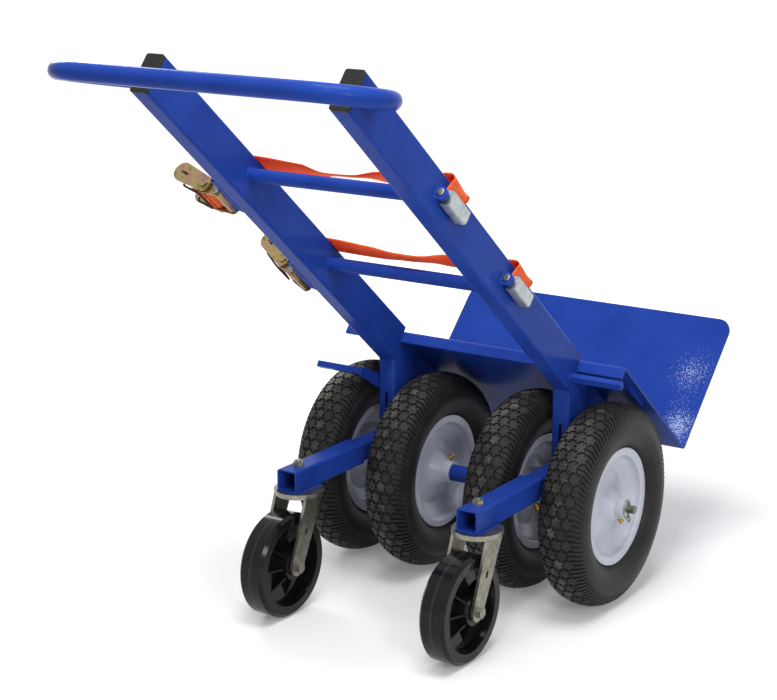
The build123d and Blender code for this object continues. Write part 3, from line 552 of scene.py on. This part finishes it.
tyreRoll = {"left_outer": 1.4, "left_inner": 5.1, "right_inner": 2.3, "right_outer": 3.6}  # degrees
for wheel, roll in tyreRoll.items():
    buildTyre(wheel, Vector(joints[f"{wheel}_wheel_spin"]["pos_m"]), radians(roll))
print("tyres built")

# the rails' own frame: x across, depth towards the load, along up the rail from the knee
railSize = {"x": 201, "width": 38.1, "kneeHeight": 443.389}
upRail = Vector(joints["upper_handle_swing"]["axis"])
toLoad = Vector((0, upRail.z, -upRail.y))
across = Vector((1, 0, 0))
knee = atAxle(0, 0, railSize["kneeHeight"])
railOuter = railSize["x"] + railSize["width"] / 2
railInner = railSize["x"] - railSize["width"] / 2


def onRail(x, depth, along):
    return knee + (across * x + toLoad * depth + upRail * along) * mm


def smoothLine(points):
    # a smooth open line near its control points, read from a spline
    data = bpy.data.curves.new("guide", "CURVE")
    data.dimensions = "3D"
    data.resolution_u = 5
    spline = data.splines.new("NURBS")
    spline.points.add(len(points) - 1)
    for target, point in zip(spline.points, points):
        target.co = (*point, 1)
    spline.order_u = 3
    spline.use_endpoint_u = True
    guide = bpy.data.objects.new("guide", data)
    mesh = bpy.data.meshes.new_from_object(guide)
    line = [vert.co.copy() for vert in mesh.vertices]
    bpy.data.objects.remove(guide)
    bpy.data.curves.remove(data)
    bpy.data.meshes.remove(mesh)
    return line


# straps: flat bands laid on smooth lines, twisting between the rails
strapShape = {
    "width": 50, "thickness": 1.6, "rows": 6, "over": 39.4, "side": 221.35, "winding": 13.05, "short": 7.1,
    "midway": 0.55, "lead": 13, "cornerFrom": 200,
}
cornerTwist = [(15.5, 0), (20, 15), (30, 17), (40, -3), (46, -5)]  # round the anchor's corner, by depth
strapRoutes = {  # fold is how far the slack strap stands off the load face at the anchor's corner
    "upper": {
        "along": 635, "slip": -20, "fold": 6.5,
        "twist": [
            (-165, 0), (-85, 4), (-32, 26), (30, 27), (80, 10), (150, 3), (182, 2), (188, 0), (200, -5),
        ],
    },
    "lower": {
        "along": 348, "slip": -20, "fold": 5,
        "twist": [
            (-165, 0), (-88, 4), (-35, 13), (25, 16.5), (77, 3), (150, 1), (182, 2), (188, 0), (200, -5),
        ],
    },
}
strapCourse = [  # x, depth and how much of the fold is added, over the load face and round the anchor bolt
    (-221.6, 40.2, 0), (-209, 40.4, 0), (-190, 39.8, 0), (-165, 39.2, 0), (-85, 35.2, 0), (0, 32.5, 0),
    (85, 41, 0), (165, 41.2, 0), (188, 39.8, 0.15), (202, 39.8, 0.65), (214, 40, 1), (227, 39.5, 1),
    (234, 36, 0), (235, 26, 0), (230, 19, 0), (224.6, 15.5, 0), (224.2, 9, 0), (224.3, 0, 0),
    (224.3, -6.4, 0), (230.6, -6.4, 0), (237, -6.4, 0), (237, 0, 0), (237, 8, 0),
]


def makeBand(name, line, widthAt, place, body, nodes):
    # a grid laid along the line: widthAt gives the direction across the band at each point
    s = strapShape
    bm = bmesh.new()
    uv = bm.loops.layers.uv.new("band")
    bmesh.ops.create_grid(bm, x_segments=len(line) - 1, y_segments=s["rows"], size=1)
    lengths = [0]
    for start, end in zip(line, line[1:]):
        lengths.append(lengths[-1] + (end - start).length)
    for vert in bm.verts:
        column = round((vert.co.x + 1) / 2 * (len(line) - 1))
        row = vert.co.y
        for loop in vert.link_loops:
            loop[uv].uv = (lengths[column] * mm, row * s["width"] / 2 * mm)
        vert.co = place(line[column] + widthAt(line, column) * row * s["width"] / 2)
    band = finishPiece(name, bm, "wovenPolyester", body)
    thicken = band.modifiers.new("weave", "SOLIDIFY")
    thicken.thickness = s["thickness"] * mm
    thicken.offset = 0
    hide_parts(*nodes)
    print(name, "is", round(lengths[-1]), "mm long")


def strapLine(route):
    # control points from the spool, over both rails, to the loop round the anchor bolt
    s = strapShape
    pin = Vector(joints[route["spool"]]["pos_m"]) - knee
    spool = Vector((pin.x, pin.dot(toLoad))) / mm
    corner = Vector((-s["side"], s["over"]))
    aim = spool - corner
    heading = atan2(aim.y, aim.x) - asin(s["winding"] / aim.length)
    run = Vector((cos(heading), sin(heading)))
    runLength = sqrt(aim.length ** 2 - s["winding"] ** 2) - s["short"]
    points = []
    for reach in (runLength, runLength * s["midway"], s["lead"]):
        point = corner + run * reach
        points.append((point.x, point.y, route["slip"] * reach / runLength))
    points += [(x, depth + share * route["fold"], 0) for x, depth, share in strapCourse]
    return smoothLine(points)


for name, route in strapRoutes.items():
    route["spool"] = f"{name}_spool_turn"

    def strapAcross(line, column, route=route):
        before, after = line[max(column - 1, 0)], line[min(column + 1, len(line) - 1)]
        course = (after - before).normalized()
        point = line[column]
        if point.x > strapShape["cornerFrom"]:
            twist = between(cornerTwist, point.y)
        else:
            twist = between(route["twist"], point.x)
        return Matrix.Rotation(radians(twist), 3, course) @ Vector((0, 0, 1))

    def strapPlace(point, route=route):
        return onRail(point.x, point.y, point.z + route["along"])

    makeBand(f"{name}_webbing", strapLine(route), strapAcross, strapPlace, "frame", [f"{name}_strap"])

# the wound ends, which turn with their spools, and the upper strap's loose tail
rollShape = {"inner": 9.5, "outer": 13.0, "halfTurns": 3, "steps": 60}
tailLine = [(-2, 15.3), (6, 15.5), (14, 15.1), (22, 15.4), (28, 15.5), (32, 15.2)]


def straightAcross(line, column):
    return Vector((0, 0, 1))


for name, route in strapRoutes.items():
    out = Vector(joints[f"{name}_pull_slide"]["axis"])  # towards the ratchet handle's end
    side = upRail.cross(out)
    hub = Vector(joints[route["spool"]]["pos_m"])

    def onSpool(point, out=out, side=side, hub=hub):
        return hub + (out * point.x + side * point.y + upRail * point.z) * mm

    spiral = []
    for step in range(rollShape["steps"] + 1):
        share = step / rollShape["steps"]
        radius = rollShape["inner"] + (rollShape["outer"] - rollShape["inner"]) * share
        turn = pi * rollShape["halfTurns"] * share
        spiral.append(Vector((radius * cos(turn), radius * sin(turn), 0)))
    makeBand(
        f"{name}_wound_webbing", spiral, straightAcross, onSpool, f"{name}_spool",
        [f"{name}_webbing_roll"],
    )
    if name == "upper":
        tail = smoothLine([(x, y, 0) for x, y in tailLine])
        makeBand("upper_webbing_tail", tail, straightAcross, onSpool, "frame", ["upper_strap"])
print("webbing laid")

# plated sleeves round the pins that carry the ratchets
sleeveShape = {
    "radius": 8.9, "length": 59, "round": 1.6, "sides": 40, "out": 244.05, "depth": -32, "below": 20,
}
for name, route in strapRoutes.items():
    sleeveMesh = bmesh.new()
    bmesh.ops.create_cone(
        sleeveMesh, cap_ends=True, segments=sleeveShape["sides"], radius1=sleeveShape["radius"],
        radius2=sleeveShape["radius"], depth=sleeveShape["length"],
    )
    # the edges round its two ends, which are level
    rims = [edge for edge in sleeveMesh.edges if abs(edge.verts[0].co.z - edge.verts[1].co.z) < 1]
    bmesh.ops.bevel(
        sleeveMesh, geom=rims, offset=sleeveShape["round"], offset_type="OFFSET", affect="EDGES", segments=3,
        profile=0.5, material=-1,
    )
    middle = onRail(-sleeveShape["out"], sleeveShape["depth"], route["along"] - sleeveShape["below"])
    turn = upRail.to_track_quat("Z", "X").to_matrix().to_4x4()
    bmesh.ops.transform(
        sleeveMesh, matrix=Matrix.Translation(middle) @ turn @ Matrix.Scale(mm, 4), verts=sleeveMesh.verts
    )
    finishPiece(f"{name}_pin_sleeve", sleeveMesh, "yellowChromate", "frame", smooth=50)
print("sleeves fitted")

# weld beads: rippled fillets where the tubes and plates meet, under the same coat
weldPlan = {"bead": 2.8, "step": 3.6, "ripple": 0.3, "sunk": 0.6, "cornerCut": 3}
crossbarWeld = {"along": (652, 337), "depth": 5, "radius": 13.4}  # round each tube, at the rails' inner sides
handleWeld = {"along": 943.5, "depth": 3.5, "radius": 16.6}  # round the pipe, at the rails' outer sides
plateWeld = {"depth": 23.1, "span": (18, -52)}  # down the rails' edges, at the nose plate's rear
# both sides of each gusset, on the nose plate's rear and on the post's front
gussetWeld = {"edge": 3.6, "span": (-58, -172), "postFront": 38.6, "heights": (421.7, 303.7)}
stubWeld = {"back": -38.8, "height": 259.8, "half": 19.6}  # round the caster arm's stub, at the post
topPlateWeld = {"edge": 22.4, "height": 237.4, "span": (-378, -302)}  # along the caster arm's lower edges
lugWeld = {"off": 0.5, "above": 40, "depthHalf": 12, "alongHalf": 4.4}  # on the right rail's side
bracketWeld = {"off": 0.5, "depth": -32, "depthHalf": 3.4, "alongHalf": 50.4}  # on the left rail's side


def ringPoints(centre, radius, first, second):
    count = round(2 * pi * radius / weldPlan["step"])
    turns = [2 * pi * step / count for step in range(count)]
    return [centre + (first * cos(turn) + second * sin(turn)) * radius * mm for turn in turns]


def alongPoints(corners, closed=False):
    # evenly spaced points on straight runs between corners
    ends = corners + corners[:1] if closed else corners
    points = []
    for start, end in zip(ends, ends[1:]):
        count = max(round((end - start).length / (weldPlan["step"] * mm)), 1)
        points += [start.lerp(end, step / count) for step in range(count)]
    return points if closed else points + [ends[-1]]


def tubeRing(centre, first, firstHalf, second, secondHalf):
    # round a box: its outline with the corners cut
    cuts = [(weldPlan["cornerCut"], 0), (0, weldPlan["cornerCut"])]
    corners = []
    for a, b in ((1, 1), (1, -1), (-1, -1), (-1, 1)):
        for firstCut, secondCut in cuts:
            place = first * a * (firstHalf - firstCut) + second * b * (secondHalf - secondCut)
            corners.append(centre + place * mm)
        cuts.reverse()  # the next corner is met from its other side
    return alongPoints(corners, True)


up = Vector((0, 0, 1))
plateRear = plateWeld["depth"] - weldPlan["sunk"]
closedWelds, openWelds = [], []
for side in (-1, 1):
    x = side * railSize["x"]
    innerX = side * (railInner - weldPlan["sunk"])
    outerX = side * railOuter + side * weldPlan["sunk"]
    for along in crossbarWeld["along"]:
        tubeEnd = onRail(innerX, crossbarWeld["depth"], along)
        closedWelds.append(ringPoints(tubeEnd, crossbarWeld["radius"], toLoad, upRail))
    pipeEnd = onRail(outerX, handleWeld["depth"], handleWeld["along"])
    closedWelds.append(ringPoints(pipeEnd, handleWeld["radius"], toLoad, upRail))
    stubEnd = atAxle(x, stubWeld["back"], stubWeld["height"])
    closedWelds.append(tubeRing(stubEnd, across, stubWeld["half"], up, stubWeld["half"]))
    for edge in (-1, 1):
        beadX = x + edge * railSize["width"] / 2
        openWelds.append(alongPoints([onRail(beadX, plateRear, along) for along in plateWeld["span"]]))
        gussetX = x + edge * gussetWeld["edge"]
        openWelds.append(alongPoints([onRail(gussetX, plateRear, along) for along in gussetWeld["span"]]))
        onPost = [atAxle(gussetX, gussetWeld["postFront"], height) for height in gussetWeld["heights"]]
        openWelds.append(alongPoints(onPost))
        armX = x + edge * topPlateWeld["edge"]
        onArm = [atAxle(armX, y, topPlateWeld["height"]) for y in topPlateWeld["span"]]
        openWelds.append(alongPoints(onArm))
for route in strapRoutes.values():
    lug = onRail(railOuter + lugWeld["off"], 0, route["along"] + lugWeld["above"])
    closedWelds.append(tubeRing(lug, toLoad, lugWeld["depthHalf"], upRail, lugWeld["alongHalf"]))
    bracket = onRail(-railOuter - bracketWeld["off"], bracketWeld["depth"], route["along"])
    closedWelds.append(tubeRing(bracket, toLoad, bracketWeld["depthHalf"], upRail, bracketWeld["alongHalf"]))
weldCurve = bpy.data.curves.new("weldCurve", "CURVE")
weldCurve.dimensions = "3D"
weldCurve.bevel_depth = weldPlan["bead"] * mm
weldCurve.bevel_resolution = 2
for welds, closed in ((closedWelds, True), (openWelds, False)):
    for points in welds:
        spline = weldCurve.splines.new("POLY")
        spline.points.add(len(points) - 1)
        spline.use_cyclic_u = closed
        for index, (target, point) in enumerate(zip(spline.points, points)):
            target.co = (*point, 1)
            target.radius = 1 - weldPlan["ripple"] * (index % 2)
weldGuide = bpy.data.objects.new("weldGuide", weldCurve)
weldMesh = bmesh.new()
weldMesh.from_mesh(bpy.data.meshes.new_from_object(weldGuide))
bpy.data.objects.remove(weldGuide)
finishPiece("weld_beads", weldMesh, "bluePowderCoat", "frame", smooth=60)
print("welds laid:", len(closedWelds) + len(openWelds))

# camera fitted to the photograph's frame of 777 by 700
cameraFit = {
    "place": (1904.81, -3167.17, 1440.88), "forward": (-0.5389, 0.8028, -0.2553),
    "focal": 1930.67, "frameWidth": 777, "sensor": 36,
}
cameraData = bpy.data.cameras.new("camera")
camera = bpy.data.objects.new("camera", cameraData)
bpy.context.scene.collection.objects.link(camera)
camera.location = atAxle(*cameraFit["place"])
camera.rotation_euler = Vector(cameraFit["forward"]).to_track_quat("-Z", "Y").to_euler()
cameraData.sensor_width = cameraFit["sensor"]
cameraData.lens = cameraFit["focal"] / cameraFit["frameWidth"] * cameraData.sensor_width
bpy.context.scene.camera = camera

# soft studio light: a lamp overhead, two at the sides and a small one in front for crisp highlights
lampPlan = {
    "overhead": {"place": (0.4, -0.7, 3.2), "aim": (0, 0, 0.4), "size": 1.5, "power": 70},
    "rightFront": {"place": (3.0, -2.2, 2.0), "aim": (0, 0, 0.5), "size": 1.0, "power": 39},
    "leftRear": {"place": (-2.8, 1.4, 2.2), "aim": (0, 0, 0.5), "size": 1.2, "power": 40},
    "sparkle": {"place": (1.0, -2.2, 2.8), "aim": (0, 0, 0.5), "size": 0.3, "power": 10},
}
for name, plan in lampPlan.items():
    lampData = bpy.data.lights.new(name, "AREA")
    lampData.size = plan["size"]
    lampData.energy = plan["power"]
    lamp = bpy.data.objects.new(name, lampData)
    lamp.location = plan["place"]
    lamp.rotation_euler = (Vector(plan["aim"]) - Vector(plan["place"])).to_track_quat("-Z", "Y").to_euler()
    bpy.context.scene.collection.objects.link(lamp)


def seenDirectly(tree):
    # 1 for what the camera sees, also in a mirror or through glass, and 0 for light on the object
    ray = addNode(tree, "ShaderNodeLightPath")
    seen = ray.outputs["Is Camera Ray"]
    for kind in ("Is Glossy Ray", "Is Transmission Ray"):
        either = addNode(tree, "ShaderNodeMath", links={0: seen, 1: ray.outputs[kind]}, operation="MAXIMUM")
        seen = either.outputs["Value"]
    return seen


# an even pale world: white where it is seen, and dimmer as light on the object
skyPlan = {"onObject": 0.26, "seen": 1.0}
world = bpy.data.worlds.new("paleStudio")
bpy.context.scene.world = world
world.use_nodes = True
sky = world.node_tree
strength = addNode(
    sky, "ShaderNodeMapRange", {"To Min": skyPlan["onObject"], "To Max": skyPlan["seen"]},
    {"Value": seenDirectly(sky)},
)
background = sky.nodes["Background"]
background.inputs["Color"].default_value = (1, 1, 1, 1)
sky.links.new(strength.outputs["Result"], background.inputs["Strength"])

# pale floor: it reads as white away from the object, and keeps the shadow near it
floorPlan = {
    "half": 14, "tone": (0.93, 0.93, 0.93, 1), "near": 0.9, "far": 2.8, "nearGlow": 0.16, "farGlow": 0.8,
}
floorMesh = bmesh.new()
bmesh.ops.create_grid(floorMesh, x_segments=1, y_segments=1, size=floorPlan["half"])
floorData = bpy.data.meshes.new("floor")
floorMesh.to_mesh(floorData)
floorMesh.free()
floorMaterial, floorTree, floorShader = startMaterial(
    "paleFloor", {"Base Color": floorPlan["tone"], "Roughness": 0.9, "Emission Color": (1, 1, 1, 1)}
)
floorCoords = addNode(floorTree, "ShaderNodeTexCoord")
floorAway = addNode(
    floorTree, "ShaderNodeVectorMath", links={0: floorCoords.outputs["Object"]}, operation="LENGTH"
)
floorGlow = addNode(
    floorTree, "ShaderNodeMapRange",
    {"From Min": floorPlan["near"], "From Max": floorPlan["far"], "To Min": floorPlan["nearGlow"],
     "To Max": floorPlan["farGlow"]},
    {"Value": floorAway.outputs["Value"]},
)
floorSeen = addNode(
    floorTree, "ShaderNodeMath", links={0: floorGlow.outputs["Result"], 1: seenDirectly(floorTree)},
    operation="MULTIPLY",
)
floorTree.links.new(floorSeen.outputs["Value"], floorShader.inputs["Emission Strength"])
floorData.materials.append(floorMaterial)
floor = bpy.data.objects.new("floor", floorData)
bpy.context.scene.collection.objects.link(floor)
bpy.context.scene.view_settings.view_transform = "Standard"
print("studio set")
